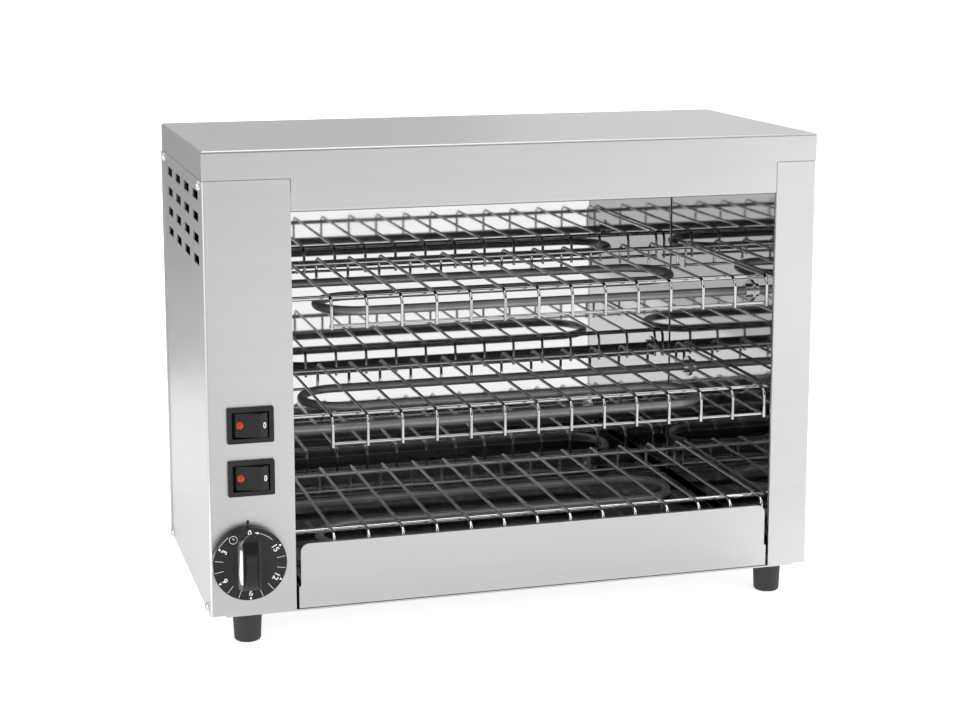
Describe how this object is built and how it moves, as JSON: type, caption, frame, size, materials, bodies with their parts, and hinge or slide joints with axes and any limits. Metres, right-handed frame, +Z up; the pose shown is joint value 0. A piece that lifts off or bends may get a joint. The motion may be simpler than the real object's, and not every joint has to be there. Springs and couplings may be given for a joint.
{
  "type": "open toaster grill",
  "caption": "Open-front electric toaster grill: folded steel casing with wire racks over bent tube heaters, mirror-bright inside, switches and timer dial on the left, pull-out crumb tray.",
  "frame": {"origin": "on the table under the middle of the outline, knob and gland included", "axes": "+X to the right seen from the front, +Y to the back, +Z up"},
  "size_m": [0.4476, 0.2338, 0.3412],
  "materials": {
    "satin_steel": "satin",
    "polished_steel": "mirror polished",
    "bright_wire": "bright",
    "heater_sheath": "dull oxidised",
    "ceramic": "matt",
    "red_lens": "clear gloss",
    "black_rubber": "matt",
    "black_plastic": "semi-gloss",
    "gland_plastic": "matt",
    "brass": "plain",
    "lead_sleeve": "matt",
    "timer_zinc": "plain",
    "plated_steel": "bright"
  },
  "bodies": {
    "cabinet": {"top_cover": "satin_steel", "left_panel": "satin_steel", "right_panel": "satin_steel", "back_panel": "polished_steel", "base_pan": "satin_steel", "left_liner": "polished_steel", "right_liner": "polished_steel", "ceiling": "polished_steel", "side_screws_left": "plated_steel", "side_screws_right": "plated_steel", "back_screws": "plated_steel", "rack_top_wires": "bright_wire", "rack_top_frame": "bright_wire", "rack_middle_wires": "bright_wire", "rack_middle_frame": "bright_wire", "rack_bottom_wires": "bright_wire", "rack_bottom_frame": "bright_wire", "heater_top": "heater_sheath", "heater_middle": "heater_sheath", "heater_bottom": "heater_sheath", "heater_fittings": "plated_steel", "heater_nuts": "plated_steel", "heater_insulators": "ceramic", "heater_pins": "plated_steel", "switch_upper_body": "black_plastic", "switch_lower_body": "black_plastic", "switch_tabs": "plated_steel", "timer_case": "timer_zinc", "timer_screws_pair": "plated_steel", "timer_tabs": "plated_steel", "foot_front_left": "black_rubber", "foot_front_right": "black_rubber", "foot_back_left": "black_rubber", "foot_back_right": "black_rubber", "foot_screws": "plated_steel", "foot_nuts": "plated_steel", "cable_gland": "gland_plastic", "gland_nut": "gland_plastic", "terminal_block": "ceramic", "terminal_inserts": "brass", "earth_stud": "brass", "left_leads": "lead_sleeve", "right_leads": "lead_sleeve"},
    "crumb_tray": {"tray_pan": "satin_steel", "tray_front": "satin_steel"},
    "timer_knob": {"timer_shaft": "plated_steel", "timer_knob": "black_plastic"},
    "upper_rocker": {"switch_upper_rocker": "black_plastic", "switch_upper_lens": "red_lens"},
    "lower_rocker": {"switch_lower_rocker": "black_plastic", "switch_lower_lens": "red_lens"}
  },
  "joints": [
    {"name": "tray_slide", "type": "slide", "parent": "cabinet", "child": "crumb_tray", "axis": [0, -1, 0], "range_m": [0, 0.205]},
    {"name": "timer_turn", "type": "hinge", "parent": "cabinet", "child": "timer_knob", "pos_m": [-0.1951, -0.1011, 0.0589], "axis": [0, 1, 0], "range_deg": [-30, 300]},
    {"name": "upper_rocker_tip", "type": "hinge", "parent": "cabinet", "child": "upper_rocker", "pos_m": [-0.1921, -0.0989, 0.1545], "axis": [0, 0, 1], "range_deg": [0, 26]},
    {"name": "lower_rocker_tip", "type": "hinge", "parent": "cabinet", "child": "lower_rocker", "pos_m": [-0.1921, -0.0989, 0.1176], "axis": [0, 0, 1], "range_deg": [0, 26]}
  ]
}
